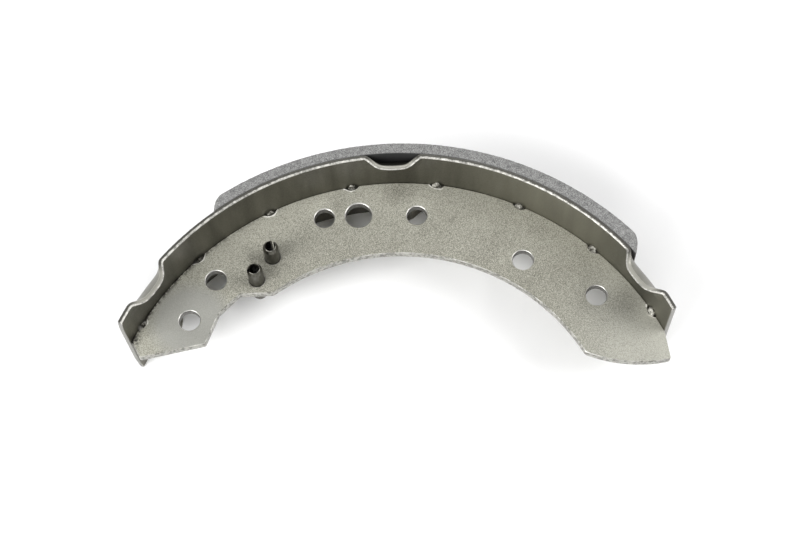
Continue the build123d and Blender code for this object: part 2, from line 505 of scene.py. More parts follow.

# %% [markdown]
# Wear has places, and so has the light and shade that is painted in. A real shoe is smooth in one
# place and burnt where a weld spat. One noise over the whole plate would spread all that evenly, so
# each mark gets a centre, given as the holes are by an inset from the rim and a bearing.

# %% Where the wear and the painted light and shade are
toe_hole = (14.4, -55.65)
ear_height = Vector((0, 0, 12 * MM))
# Painted shadows: inset, bearing, fade and strength of each soft shadow near the rim.
painted_shadow_marks = [(6, 57, 7.5, 0.42), (3, 1, 7, 0.35), (7, -12.5, 5, 0.25)]
toe_hole_place = drum_axis + on_web(*toe_hole)
heel_place = drum_axis + on_web(8, 66)
# The rim is painted paler round the next two places, as light.
heel_ear_place = drum_axis + on_web(0, 65) + ear_height
heel_light_place = drum_axis + on_web(0, 35) + ear_height
middle_crimp_place = drum_axis + round_drum(rim_outer_radius, 0)
spatter_place = drum_axis + on_web(0.3, -65.2)
spatter_place.z = web_thickness / 2
painted_shadows = [
    (drum_axis + on_web(inset, bearing), fade * MM, strength)
    for inset, bearing, fade, strength in painted_shadow_marks
]
print(len(painted_shadows), "stains, spatter at", tuple(round(v / MM, 1) for v in spatter_place), "mm")

# %% [markdown]
# The web is blasted and oiled sheet: grey with a warm cast, and finely speckled. One noise gives
# the speckle, and a far larger one the clouds in it. The marks then rub it smooth round the toe's
# hole, paint soft shadows on it near the rim, paint shade into the seam towards the toe, and paint
# the plate paler towards the rim, as light. Round each weld a thin painted highlight stands for the
# light that the squeezed-up lip catches; a formula for the distance to the nearest scallop draws it
# without any extra mesh.

# %% Blasted steel of the web
grit_dark, grit_pale = (0.13, 0.126, 0.101), (0.46, 0.453, 0.385)
rubbed_dark, rubbed_pale = (0.18, 0.179, 0.161), (0.39, 0.39, 0.356)
# The lip's colour is a painted highlight.
lip_highlight = (0.85, 0.84, 0.78)
# This colour serves the real weld spatter and the painted shade in the seam.
burnt_oil_and_seam_shade = (0.035, 0.033, 0.028)


def scallop_highlight(tree, place):
    """1 on a thin broken line round each weld's scallop: a painted highlight for the web's
    squeezed-up edge.
    """
    out_x, out_y = off_axis(tree, place)
    bearing = out_x.sum("ARCTAN2", out_y)
    pitch = math.radians(weld_pitch)
    weld = ((bearing / pitch - 0.5).nearest() + 0.5) * pitch
    across = out_x - weld.sine() * scallop_centre_radius
    along = out_y - weld.cosine() * scallop_centre_radius
    ragged = (noise(tree, place, 2.5 * MM) - 0.5) * 1.6 * MM
    from_edge = (across * across + along * along).root() - scallop_radius + ragged
    lip = (from_edge - 0.3 * MM).size().share(0.45 * MM, 0.15 * MM)
    return lip * soft_share(noise(tree, place, 3.0 * MM), 0.42, 0.56)


def web_finish():
    """Grey blasted sheet, finely speckled, with a patch rubbed smooth round the toe's hole."""
    material, tree, shader, place = new_finish("blasted steel")
    speckle = noise(tree, place, 0.25 * MM, detail=1.0, roughness=0.6)
    cloud = noise(tree, place, 14 * MM, detail=3.0)
    heel = near(tree, place, heel_place, 10 * MM, 26 * MM)
    patch = near(tree, place, toe_hole_place, 11 * MM, 6 * MM).most(heel * 0.4)
    rough = patch * -0.75 + 1.0
    out_x, out_y = off_axis(tree, place)
    from_axis = (out_x * out_x + out_y * out_y).root()
    seam = from_axis.share(rim_inner_radius - web_depth, rim_inner_radius)
    grain = (speckle - 0.5) * 2.8
    # seam * 0.3 is painted light: it makes the plate paler towards the rim, against the rim's shade.
    tone = grain * rough + (cloud - 0.5) * 0.35 + seam * 0.3 + heel * 0.22 + 0.35
    # Each painted shadow darkens the plate in a soft patch near the rim.
    for shadow_place, fade, strength in painted_shadows:
        painted_shadow = near(tree, place, shadow_place, 1.0 * MM, fade) * (cloud + 0.5)
        tone = tone - painted_shadow * strength
    grit = mixed(tree, tone.share(0.0, 1.0), grit_dark, grit_pale)
    rubbed = mixed(tree, tone.share(0.0, 1.0), rubbed_dark, rubbed_pale)
    steel = mixed(tree, patch, grit, rubbed)
    # A painted highlight on the squeezed-up lip round each weld.
    with_lip_highlight = mixed(tree, scallop_highlight(tree, place), steel, lip_highlight)
    spots = soft_share(noise(tree, place, 0.9 * MM, detail=2.0), 0.40, 0.52)
    burnt = near(tree, place, spatter_place, 1.0 * MM, 2.6 * MM) * spots
    # Painted shade along the seam towards the toe, broken by noise; the burnt spots by the toe's end
    # are real spatter.
    toeward = three(tree, place)[0].share(-25 * MM, -65 * MM)
    seam_shade = from_axis.share(rim_inner_radius - 1.8 * MM, rim_inner_radius - 0.3 * MM) * toeward
    spatter_and_seam_shade = burnt.most(seam_shade * soft_share(noise(tree, place, 1.2 * MM), 0.42, 0.55))
    paint(tree, shader, mixed(tree, spatter_and_seam_shade, with_lip_highlight, burnt_oil_and_seam_shade), 0.15, 0.6)
    bumped(tree, shader, speckle * rough, 0.04 * MM)
    return material


blasted_steel = web_finish()
print("blasted steel has", len(blasted_steel.node_tree.nodes), "nodes")

# %% [markdown]
# The rim is smoother than the web: rolled strip, with faint streaks across its width, and painted
# paler towards the heel, as light. Shears leave an edge in two bands: a bright one where the blade
# rubbed, here the inner one, and a dull one where the metal tore, paler where the press bent it.
# Their colours also carry painted light: a painted highlight on the bright band and a painted dark
# reflection on the dull one. The bands could be separate strips of mesh, but the rim's geometry
# tree already knows how near the edge each point is, on which face and how far pressed in. It
# writes that onto the points, and this finish reads it.

# %% Rolled and sheared steel
sheet_dark, sheet_pale = (0.06, 0.057, 0.044), (0.40, 0.39, 0.335)
# The dark torn colour is partly a painted dark reflection.
torn_and_dark_reflection, torn_pressed = (0.09, 0.087, 0.076), (0.36, 0.352, 0.31)
# The bare edge's brightness is partly a painted highlight.
nick_dark, bare_edge_and_highlight = (0.20, 0.196, 0.178), (0.64, 0.63, 0.585)
end_face = (0.20, 0.197, 0.178)


def edge_colour(tree, place):
    """Bare bright metal with small dark nicks, its brightness partly a painted highlight."""
    chatter = noise(tree, place, 1.6 * MM, detail=6.0, roughness=0.8)
    return mixed(tree, soft_share(chatter, 0.36, 0.60), nick_dark, bare_edge_and_highlight)


def rim_finish():
    """Rolled strip with sheared edges."""
    material, tree, shader, place = new_finish("rolled steel")
    speckle = noise(tree, place, 0.5 * MM, detail=2.0)
    streak = noise(tree, place, 5 * MM, detail=2.0, stretch=(1, 1, 0.12))
    # Painted light: the rim's inner face is painted paler towards the heel and on the heel's ear.
    painted_heel_light = near(tree, place, heel_light_place, 10 * MM, 36 * MM)
    painted_heel_light = painted_heel_light.most(near(tree, place, heel_ear_place, 9 * MM, 9 * MM) * 0.55)
    tone = (speckle - 0.5) * 0.3 + (streak - 0.5) * 0.4 + 0.25 + painted_heel_light * 0.5
    sheet = mixed(tree, tone.share(0.0, 1.0), sheet_dark, sheet_pale)
    ragged = (noise(tree, place, 1.6 * MM, detail=2.0) - 0.5) * 1.2
    # The bright inner band is partly a painted highlight, the dark outer band partly a painted dark
    # reflection.
    rubbed = soft_share(kept(tree, "outwards") * -1.0 + ragged, 0.35, 0.8)
    pressed = kept(tree, "pressed").share(0.15, 0.6)
    torn = mixed(tree, pressed, torn_and_dark_reflection, torn_pressed)
    edge = mixed(tree, rubbed, torn, edge_colour(tree, place))
    height = three(tree, place)[2].size()
    long_edge = height.share(half_width - 3 * MM, half_width - 1 * MM)
    edge = mixed(tree, long_edge, end_face, edge)
    sheared = soft_share(kept(tree, "sheared"), 0.25, 0.75)
    paint(tree, shader, mixed(tree, sheared, sheet, edge), sheared * -0.6 + 1.0, 0.36)
    bumped(tree, shader, speckle, 0.012 * MM)
    return material


rolled_steel = rim_finish()
print("rolled steel has", len(rolled_steel.node_tree.nodes), "nodes")

# %% [markdown]
# A punch draws the sheet's surface over before it breaks through, so a cut edge is bright at the
# top and torn below. The depth below the sheet's face says which is which, so one finish serves
# twice: whole in the holes, with shade painted dark into their walls, and broken and paler along
# the outline.

# %% Punched and blanked edges
drawn_over = (0.60, 0.592, 0.56)
# The holes' walls are painted darker than the outline's, as shade.
hole_shade_dark, hole_shade_pale = (0.045, 0.043, 0.036), (0.09, 0.087, 0.075)
outline_dark, outline_pale = (0.12, 0.117, 0.10), (0.34, 0.335, 0.30)


def punched_finish(name, dark, pale, whole):
    """The cut edge of the sheet: bright where the punch drew the surface over, torn below. The
    bright line is whole at 1 and more broken the lower that number is."""
    material, tree, shader, place = new_finish(name)
    depth = three(tree, place)[2].size() * -1.0 + web_thickness / 2
    chatter = noise(tree, place, 1.2 * MM, detail=3.0, roughness=0.6)
    gaps = noise(tree, place, 7 * MM, detail=5.0, roughness=0.65) + whole
    line = soft_share(depth + (chatter - 0.5) * 0.5 * MM, 0.28 * MM, 0.10 * MM)
    drawn = line * soft_share(gaps, 0.44, 0.68)
    wall = mixed(tree, soft_share(chatter, 0.38, 0.6), dark, pale)
    paint(tree, shader, mixed(tree, drawn, wall, drawn_over), drawn * 0.8 + 0.1, 0.36)
    return material


punched_edge = punched_finish("punched edge", hole_shade_dark, hole_shade_pale, 1.0)
blanked_edge = punched_finish("blanked edge", outline_dark, outline_pale, 0.0)
print("edges:", punched_edge.name, "and", blanked_edge.name)

# %% [markdown]
# The lining is a moulded block of resin full of mineral grains. It doesn't shine, so it needs no
# metal, only grain at two sizes: a fine noise and the cells of a Voronoi texture for the crumbs.
# Its inner face shows the dark adhesive, and in the middle crimp's pocket, where the rim leaves
# it open, the pocket's shade is painted black.
# The block's own geometry tree writes how far out each point is, which parts the two.

# %% Friction material
resin_dark, resin_pale = (0.07, 0.07, 0.069), (0.30, 0.30, 0.293)
# The black is painted shade for the middle crimp's pocket.
glue_dusty, pocket_shade_black = (0.10, 0.10, 0.098), (0.018, 0.018, 0.018)
crumb_length = 1.1 * MM


def lining_finish():
    """Moulded friction material: grey resin full of mineral grains, over dark adhesive, with shade
    painted black in the middle crimp's pocket.
    """
    material, tree, shader, place = new_finish("friction material")
    grain = noise(tree, place, 0.3 * MM, detail=1.0, roughness=0.6)
    crumbs = node(tree, "ShaderNodeTexVoronoi", {"Vector": place, "Scale": 1 / crumb_length})
    parts = node(tree, "ShaderNodeSeparateColor", {0: crumbs.outputs["Color"]})
    tone = (grain - 0.5) * 2.8 + (Field(parts.outputs[0]) - 0.5) * 0.3 + 0.5
    block = mixed(tree, tone.share(0.0, 1.0), resin_dark, resin_pale)
    # Painted shade: the pocket at the middle crimp is painted black.
    middle = near(tree, place, middle_crimp_place, 18 * MM, 20 * MM)
    glue = mixed(tree, middle, glue_dusty, pocket_shade_black)
    glued = mixed(tree, kept(tree, "outwards").share(0.0, 0.1), glue, block)
    paint(tree, shader, glued, 0.0, 0.85)
    bumped(tree, shader, grain, 0.08 * MM)
    return material


friction_material = lining_finish()
print("friction material has", len(friction_material.node_tree.nodes), "nodes")

# %% [markdown]
# The pins are hardened spring steel, oiled dark, with a pale worn ring at each tip. Their bores
# could be left to the light, but bare metal passes too much of it down a tube, so their shade is
# painted in, nearly black. The welds are bright metal that is burnt darker in places, with shade
# painted in towards the toe that dims their highlights there.

# %% Spring steel and weld metal
pin_dark, pin_pale = (0.085, 0.082, 0.068), (0.40, 0.39, 0.36)
# The bore's colour is painted shade.
bore_shade_black = (0.02, 0.019, 0.014)
# The burnt colour also paints shade on the welds towards the toe.
weld_burnt_and_shaded, weld_bright = (0.08, 0.076, 0.062), (0.54, 0.53, 0.48)


def pin_finish():
    """Hardened spring steel, oiled dark, with a worn pale ring at each tip and shade painted black in
    the bore.
    """
    material, tree, shader, place = new_finish("spring steel")
    height = three(tree, place)[2].size()
    scuff = noise(tree, place, 0.8 * MM, detail=2.0, stretch=(1, 1, 0.3))
    tip = soft_share(height, pin_reach - 0.12 * MM, pin_reach - 0.03 * MM)
    worn = (tip * 0.35 + (scuff - 0.45) * 0.5).share(0.0, 1.0)
    bare = mixed(tree, worn, pin_dark, pin_pale)
    # The bore is painted nearly black, as shade.
    paint(tree, shader, mixed(tree, kept(tree, "inside"), bare, bore_shade_black), 1.0, 0.35)
    bumped(tree, shader, scuff, 0.02 * MM)
    return material


def weld_finish():
    """Bright metal squeezed out of the weld, burnt darker in places, with shade painted in towards
    the toe.
    """
    material, tree, shader, place = new_finish("weld metal")
    burn = noise(tree, place, 1.6 * MM, detail=2.0)
    # Painted shade: the welds are darker towards the toe and paler towards the heel.
    heelward_light = three(tree, place)[0].share(-60 * MM, 60 * MM)
    clean = soft_share(burn, 0.38, 0.62) * (heelward_light * 0.75 + 0.35)
    paint(tree, shader, mixed(tree, clean, weld_burnt_and_shaded, weld_bright), 0.4, 0.5)
    bumped(tree, shader, burn, 0.06 * MM)
    return material


spring_steel = pin_finish()
weld_metal = weld_finish()
print(spring_steel.name, "and", weld_metal.name, "complete the seven finishes")

# %% [markdown]
# The rim is a strip 45 mm wide and 1.8 mm thick, rolled to a curve. A press has pushed both its
# edges inwards at three places, to stiffen the strip and to give the edge pads to slide on. The
# crimps could be sculpted, but they follow a rule, so the tree works it out: how far along the
# strip the nearest crimp is, and how near the edge, gives how far the metal has moved. The sheet is
# set out along the moved line's true normal, so it keeps its thickness round the bends.

# %% Rim
crimp_bearing = math.radians(56.9)
rim_rows = (560, 2, 60)
rim_sizes = {
    "Middle Radius": rim_middle_radius,
    "Thickness": rim_thickness,
    "Half Width": half_width,
    "Half Angle": rim_half_angle,
    "Edge Radius": 0.5 * MM,
    "Crimp Bearing": crimp_bearing,
    "Crimp Depth": 5.6 * MM,
    "Crimp Floor": 4.0 * MM,
    "Crimp Flank": 6.9 * MM,
    "Crimp Floor Bow": 0.35 * MM,
    "Crimp Shoulder": 3.4 * MM,
    "Crimp Foot": 1.4 * MM,
    "Crimp Height": 8.6 * MM,
    "Crimp Curve": 1.6,
    "Toe Ear Drop": 0.9 * MM,
    "Waviness": 0.12 * MM,
    "Sheet": rolled_steel,
}


def crimp_line(size, from_middle):
    """How deep a crimp is, and how steep, at a distance from its middle. Going in, its foot bends
    down, a flank runs straight, a shoulder bends back, and the floor is gently bowed."""
    floor = size["Crimp Floor"]
    foot = size["Crimp Foot"]
    shoulder = size["Crimp Shoulder"]
    floor_slope = size["Crimp Floor Bow"] * 2.0 / floor
    shoulder_fall = floor_slope * shoulder / 2.0
    climb = size["Crimp Depth"] - size["Crimp Floor Bow"] - shoulder_fall
    steep = climb / (size["Crimp Flank"] - (foot + shoulder) / 2.0)
    inside = (floor + size["Crimp Flank"] - from_middle).most(0.0)
    foot_slope, foot_height = ramp(inside, 0.0, foot)
    back_slope, back_height = ramp(inside, size["Crimp Flank"] - shoulder, shoulder)
    floor_share, floor_height = ramp(inside, size["Crimp Flank"], floor)
    eased = steep - floor_slope
    depth = foot_height * steep - back_height * eased - floor_height * floor_slope
    slope = foot_slope * steep - back_slope * eased - floor_share * floor_slope
    return depth, slope


def rim_tree():
    """The strip, bent round the drum's axis and crimped."""
    tree, size = geometry_tree("crimped strip", rim_sizes)
    box, (along, through, across) = fine_box(tree, rim_rows)
    bearing = crowded_ends(along, 0.97) * size["Half Angle"]
    jitter = node(tree, "ShaderNodeTexNoise", {"W": bearing, "Scale": 90.0}, noise_dimensions="1D")
    half = size["Half Width"] - size["Waviness"] * Field(jitter.outputs[0]).share(0.3, 0.7)
    height = crowded(across).size() * half
    crimp = (bearing / size["Crimp Bearing"]).nearest() * size["Crimp Bearing"]
    from_crimp = (bearing - crimp) * size["Middle Radius"]
    depth, slope = crimp_line(size, from_crimp.size())
    past_toe = (-bearing - size["Crimp Bearing"]).share(0.0, 0.001)
    drop = size["Toe Ear Drop"] * past_toe
    softness = size["Edge Radius"] * 2.0
    over = (depth - drop) / softness
    meet = (-(over.size()) + 1.0).most(0.0)
    depth = depth.most(drop) + meet * meet * softness * 0.25 * past_toe
    slope = slope * (over * 0.5 + 0.5).most(-past_toe + 1.0).least(1.0).most(0.0)
    low = size["Half Width"] - size["Crimp Height"]
    press = height.share(low, size["Half Width"]).power(size["Crimp Curve"])
    radius = size["Middle Radius"] - press * depth
    lean = from_crimp.sign() * press * slope * size["Middle Radius"] / radius
    length = (lean * lean + 1.0).root()
    to_side = half - height
    to_end = (-(bearing.size()) + size["Half Angle"]) * size["Middle Radius"]
    round_end = edge_round(to_end, size["Edge Radius"] * 0.5)
    drawn_in = edge_round(to_side, size["Edge Radius"]) + round_end
    offset = through * (size["Thickness"] / 2.0 - drawn_in.least(size["Thickness"] * 0.4))
    sheared = (-(to_side.least(to_end * 2.0)) / size["Edge Radius"] + 1.5).most(0.0).least(1.0)
    marked = keep(tree, box, "sheared", sheared)
    marked = keep(tree, marked, "outwards", through)
    marked = keep(tree, marked, "pressed", press * depth / size["Crimp Depth"])
    moved = place_round_drum(
        tree, marked, radius + offset / length, -(offset * lean / length), bearing,
        height * across.sign(),
    )
    end_tree(tree, moved, size["Sheet"])
    return tree


rim = grow("rim_strip", rim_tree(), rim_sizes)

# %% [markdown]
# The friction lining is a curved block, bonded to the rim and then ground on a machine whose axis
# was not quite the drum's, so it is thicker at the heel. Its ends are bevelled so that they don't
# grab, and the corners are soft. One box bent round the drum gives it too: the thickness over each
# point is the smaller of the ground circle's height and the bevel's.

# %% Lining
lining_middle = 7.85
lining_half_arc = 45.0
lining_thickness = 4.3
grind_drop = 1.9
lining_rows = (420, 8, 64)
lining_sizes = {
    "Inner Radius": rim_outer_radius,
    "Half Width": half_width - 0.3 * MM,
    "Toe": math.radians(lining_middle - lining_half_arc),
    "Heel": math.radians(lining_middle + lining_half_arc),
    "Grind Radius": rim_outer_radius + (lining_thickness + grind_drop) * MM,
    "Grind X": 0.5 * MM,
    "Grind Y": -grind_drop * MM,
    "End Slope": math.tan(math.radians(40.0)),
    "Corner Softness": 3.2 * MM,
    "Blunt End": 0.25 * MM,
    "Edge Radius": 0.45 * MM,
    "Crumbling": 0.16 * MM,
    "Block": friction_material,
}


def lining_tree():
    """The block, bent round the drum's axis, ground outside and bevelled at both ends."""
    tree, size = geometry_tree("ground block", lining_sizes)
    box, (along, through, across) = fine_box(tree, lining_rows)
    middle = (size["Toe"] + size["Heel"]) / 2.0
    half_arc = (size["Heel"] - size["Toe"]) / 2.0
    bearing = crowded_ends(along, 0.93) * half_arc + middle
    reach = size["Grind X"] * bearing.sine() + size["Grind Y"] * bearing.cosine()
    off_centre = size["Grind X"] * size["Grind X"] + size["Grind Y"] * size["Grind Y"]
    grind = size["Grind Radius"]
    ground = reach + (grind * grind - off_centre + reach * reach).root()
    full = ground - size["Inner Radius"]
    to_end = (half_arc - (bearing - middle).size()) * size["Inner Radius"]
    bevel = to_end / size["End Slope"] + size["Blunt End"]
    apart = (-(full - bevel).size() + size["Corner Softness"]).most(0.0)
    soft = apart * apart / (size["Corner Softness"] * 4.0)
    from_middle = crowded(across)
    height = from_middle * size["Half Width"]
    thick = full.least(bevel) - soft
    to_side = size["Half Width"] - height.size()
    spot = joined(tree, bearing * size["Inner Radius"], height, through * 2.0 * MM)
    crumbs = Field(node(
        tree, "ShaderNodeTexNoise", {"Vector": spot, "Scale": 1 / (1.2 * MM), "Detail": 3.0}
    ).outputs[0]).share(0.35, 0.75)
    at_edge = to_side.share(0.9 * MM, 0.0) * 0.8 + 0.2
    worn = crumbs * at_edge * size["Crumbling"]
    outer = (thick - edge_round(to_side, size["Edge Radius"]) - worn).most(size["Blunt End"] * 0.5)
    radius = size["Inner Radius"] + outer * ((through + 1.0) / 2.0)
    sunk = height - from_middle.sign() * worn * 0.6 * (from_middle.size().share(0.98, 1.0))
    marked = keep(tree, box, "outwards", (through + 1.0) / 2.0)
    moved = place_round_drum(tree, marked, radius, 0.0, bearing, sunk)
    end_tree(tree, moved, size["Block"])
    return tree


lining = grow("lining_block", lining_tree(), lining_sizes)

# %% [markdown]
# The web is sheet 3.2 mm thick, punched out with its holes. The holes could be cut with Booleans,
# but Blender's flat curves do just what a punch does: one closed line for the outline and one for
# each hole, filled between, with a thickness and a small bevel for the rounded edge. The outline is
# arcs and straight runs, and its corners are rounded by cutting them back along both sides.

# %% Outline of the web
web_edge_radius = 0.35 * MM
line_step = 0.8 * MM
corner_steps = 8
heel_bow_radius = 51 * MM
heel_inner_bearing = 62.15
step_bearing = -36.15


def drum_arc(radius, start, end):
    """Points of an arc about the drum's axis, from one bearing to another in degrees."""
    start, end = math.radians(start), math.radians(end)
    count = max(2, round(abs(end - start) * radius / line_step))
    return [round_drum(radius, start + (end - start) * i / count) for i in range(count + 1)]


def bulging_arc(start, end, radius):
    """Points of an arc between two points that bulges to the left of the way along it."""
    chord = end - start
    left = Vector((-chord.y, chord.x, 0)).normalized()
    to_centre = math.sqrt(radius**2 - (chord.length / 2) ** 2)
    centre = (start + end) / 2 - left * to_centre
    half = math.asin(chord.length / 2 / radius)
    count = round(2 * half * radius / line_step)
    turns = [half - 2 * half * i / count for i in range(count + 1)]
    return [centre + Matrix.Rotation(turn, 3, "Z") @ (left * radius) for turn in turns]


def rounded(points, corner, radius):
    """The closed line with its corner at that point rounded to a radius."""
    at = min(range(len(points)), key=lambda i: (points[i] - corner).length)
    before = points[at] - points[at - 1]
    after = points[(at + 1) % len(points)] - points[at]
    reach = radius * math.tan(before.angle(after) / 2)
    cut = []
    for step in (-1, 1):
        walked = 0
        i = at
        while walked < reach:
            ahead = points[(i + step) % len(points)]
            side = ahead - points[i]
            walked += side.length
            i = (i + step) % len(points)
        cut.append((i, points[i] - side * ((walked - reach) / side.length)))
    (last, first_cut), (follow, second_cut) = cut
    bend = []
    for i in range(corner_steps + 1):
        share = i / corner_steps
        inner = first_cut.lerp(points[at], share)
        bend.append(inner.lerp(points[at].lerp(second_cut, share), share))
    if last > follow:
        return bend + points[follow:last + 1]
    return points[:last + 1] + bend + points[follow:]


def web_outline():
    """The crescent, from the heel's end round the inner edge to the toe and back along the rim."""
    heel_tip = on_web(2.45, rim_end_bearing + 5.83)
    heel_inner = on_web(web_inner_inset, heel_inner_bearing)
    step_inner = on_web(web_inner_inset, step_bearing)
    step_outer = on_web(21.7, -43.0)
    toe_bend = on_web(21.4, -50.15)
    toe_inner = on_web(24.5, -58.6)
    toe_tip = on_web(5.4, -rim_end_bearing - 2.1)
    points = bulging_arc(heel_tip, heel_inner, heel_bow_radius)
    points += drum_arc(rim_inner_radius - web_depth, heel_inner_bearing, step_bearing)[1:]
    points += [step_outer, toe_bend, toe_inner, toe_tip]
    points += notched_edge()
    corners = [
        (heel_inner, 2.5), (step_inner, 4.0), (step_outer, 1.2), (toe_bend, 3.0), (toe_inner, 1.2),
        (toe_tip, 1.2), (heel_tip, 1.2),
    ]
    for corner, radius in corners:
        points = rounded(points, corner, radius * MM)
    return points


print("the web reaches", round(web_depth / MM, 1), "mm inwards from the rim")

# %% [markdown]
# Along the rim the web's edge has a shallow scallop at each weld. The edge's radius at a bearing is
# the rim's own, or less where the scallop's circle reaches further in. A small relief is cut at the
# toe's end, where the web meets the end of the rim.

# %% Scalloped edge
relief_radius = 1.2 * MM
edge_steps = 900


def scallop(bearing, centre_radius, centre_bearing, radius):
    """How near the drum's axis a scallop's circle reaches at a bearing, or None beside it."""
    turn = math.radians(bearing - centre_bearing)
    off_line = centre_radius * math.sin(turn)
    if abs(off_line) >= radius:
        return None
    return centre_radius * math.cos(turn) - math.sqrt(radius**2 - off_line**2)


def notched_edge():
    """Points of the web's outer edge, from the toe's end to the heel's."""
    cuts = [
        (scallop_centre_radius, bearing, scallop_radius)
        for bearing in weld_bearings()
    ]
    cuts.append((rim_inner_radius, -rim_end_bearing, relief_radius))
    points = []
    for i in range(edge_steps + 1):
        bearing = -rim_end_bearing + 2 * rim_end_bearing * i / edge_steps
        reaches = [scallop(bearing, *cut) for cut in cuts]
        radius = min([rim_inner_radius] + [reach for reach in reaches if reach is not None])
        points.append(round_drum(radius, math.radians(bearing)))
    return points


def weld_bearings():
    """Bearings of the welds in degrees, spread evenly about the middle of the shoe."""
    return [(i - (weld_count - 1) / 2) * weld_pitch for i in range(weld_count)]


print("welds at", weld_bearings(), "degrees")

# %% [markdown]
# Seven round holes go through the web, and two more hold the pins. A punch pulls the sheet's
# surface down round each hole. One bevel for the whole curve can't be wider at the holes, so it is
# stretched there afterwards, in mesh code. The same code chooses the finish of each face: blasted
# steel on the flats and along the seam, the punched edge in the seven holes, and the blanked edge
# on the outline and in the two holes that the pins fill.

# %% Punching the web
web_holes = [
    (*hold_down, 9.7, 0.65), (*toe_hole, 7.7, 0.4), (11.3, -44.55, 7.7, 0.45),
    (19.5, 32.95, 7.7, 0.4), (12.8, 51.75, 7.7, 0.4), (10.5, -16.05, 7.4, 0.55),
    (13.6, 5.15, 7.4, 0.5),
]
hole_steps = 64
flat_enough = 0.999
slack = 0.02 * MM
seam_width = 3 * MM
hole_surround = 1.0
pin_places = {"inner_pin": (21.4, -37.3), "outer_pin": (17.2, -30.9)}
pin_diameter = 5.7


def hole_line(inset, bearing, diameter):
    """Points of a round hole."""
    centre = on_web(inset, bearing)
    radius = diameter / 2 * MM
    return [
        centre + round_drum(radius, 2 * math.pi * i / hole_steps) for i in range(hole_steps)
    ]


def roll_edge(work, centre, radius, roll):
    """Widens the small bevel round a hole to the roll that the punch leaves. The punch leaned, so
    the roll is full on the rim's side and fades to the small bevel on the other."""
    for vertex in work.verts:
        out = vertex.co - centre
        away = math.hypot(out.x, out.y)
        past = away - radius
        if -slack < past < web_edge_radius + slack:
            wider = 1 + (roll / web_edge_radius - 1) * (1 + out.y / away) / 2
            stretch = (radius + past * wider) / away
            depth = (web_thickness / 2 - abs(vertex.co.z)) * wider
            height = math.copysign(web_thickness / 2 - depth, vertex.co.z)
            vertex.co = (centre.x + out.x * stretch, centre.y + out.y * stretch, height)


def punched_sheet():
    """The outline and the holes, filled as one flat curve and made a mesh."""
    curve = bpy.data.curves.new("web", "CURVE")
    curve.dimensions = "2D"
    curve.fill_mode = "BOTH"
    curve.extrude = web_thickness / 2 - web_edge_radius
    curve.bevel_depth = web_edge_radius
    curve.bevel_resolution = 3
    curve.offset = -web_edge_radius
    lines = [web_outline()] + [hole_line(*hole[:3]) for hole in web_holes]
    lines += [hole_line(*place, pin_diameter) for place in pin_places.values()]
    for points in lines:
        spline = curve.splines.new("POLY")
        spline.points.add(len(points) - 1)
        for point, place in zip(spline.points, points):
            point.co = (*(place + drum_axis), 1)
        spline.use_cyclic_u = True
    flat = bpy.data.objects.new("web_line", curve)
    bpy.context.scene.collection.objects.link(flat)
    bpy.context.view_layer.update()
    evaluated = flat.evaluated_get(bpy.context.evaluated_depsgraph_get())
    mesh = bpy.data.meshes.new_from_object(evaluated)
    bpy.data.objects.remove(flat)
    return mesh


def choose_finishes(faces):
    """Gives each face its finish: 0 blasted steel, 1 punched edge, 2 blanked edge."""
    rolled = [
        (drum_axis + on_web(inset, bearing), (diameter / 2 + hole_surround) * MM)
        for inset, bearing, diameter, _ in web_holes
    ]
    for face in faces:
        flat_face = abs(face.normal.z) > flat_enough
        face.smooth = not flat_face
        middle = face.calc_center_median() * Vector((1, 1, 0))
        in_hole = any((middle - centre).length < reach for centre, reach in rolled)
        on_seam = (middle - drum_axis).length > rim_inner_radius - seam_width
        face.material_index = 0 if flat_face or on_seam else 1 if in_hole else 2


def make_web():
    """The plate: its holes' edges rolled, its flat faces filled anew, and a finish on each face."""
    mesh = punched_sheet()
    plate = bpy.data.objects.new("web_plate", mesh)
    bpy.context.scene.collection.objects.link(plate)
    mesh.materials.clear()
    for finish in (blasted_steel, punched_edge, blanked_edge):
        mesh.materials.append(finish)
    work = bmesh.new()
    work.from_mesh(mesh)
    bmesh.ops.remove_doubles(work, verts=work.verts, dist=0.002 * MM)
    flats = [face for face in work.faces if abs(face.normal.z) > flat_enough]
    bmesh.ops.delete(work, geom=flats, context="FACES")
    for inset, bearing, diameter, roll in web_holes:
        roll_edge(work, drum_axis + on_web(inset, bearing), diameter / 2 * MM, roll * MM)
    for side in (-1, 1):
        edges = [edge for edge in work.edges if edge.is_boundary and edge.verts[0].co.z * side > 0]
        bmesh.ops.triangle_fill(work, use_beauty=True, edges=edges, normal=(0, 0, side))
    bmesh.ops.recalc_face_normals(work, faces=work.faces)
    open_edges = [edge for edge in work.edges if not edge.is_manifold]
    choose_finishes(work.faces)
    work.to_mesh(mesh)
    work.free()
    mesh.set_sharp_from_angle(angle=math.radians(50))
    print("web plate", len(mesh.polygons), "faces,", len(open_edges), "open edges")
    return plate


web = make_web()

# %% [markdown]
# Web and rim are joined by projection welds: where each scallop's lip was squeezed against the rim,
# metal has come out as a small lump, on both faces of the web, larger towards the heel. Eight lumps
# could be sculpted one by one, but one rule with small differences makes them all: a tree sets one
# ball on each weld, stretches it by a seeded random amount, and then pushes its surface about with
# noise.

# %% Weld lumps
least_stretch, most_stretch = (0.7, 0.75, 0.85), (1.15, 1.1, 1.0)
smallest_lump, lump_growth = 0.62, 0.6
weld_sizes = {
    "Count": weld_count,
    "Pitch": math.radians(weld_pitch),
    "Radius": rim_inner_radius - 0.2 * MM,
    "Lump": Vector((1.9, 1.6, 3.9)) * MM,
    "Roughness": 0.8 * MM,
    "Seed": 7,
    "Metal": weld_metal,
}


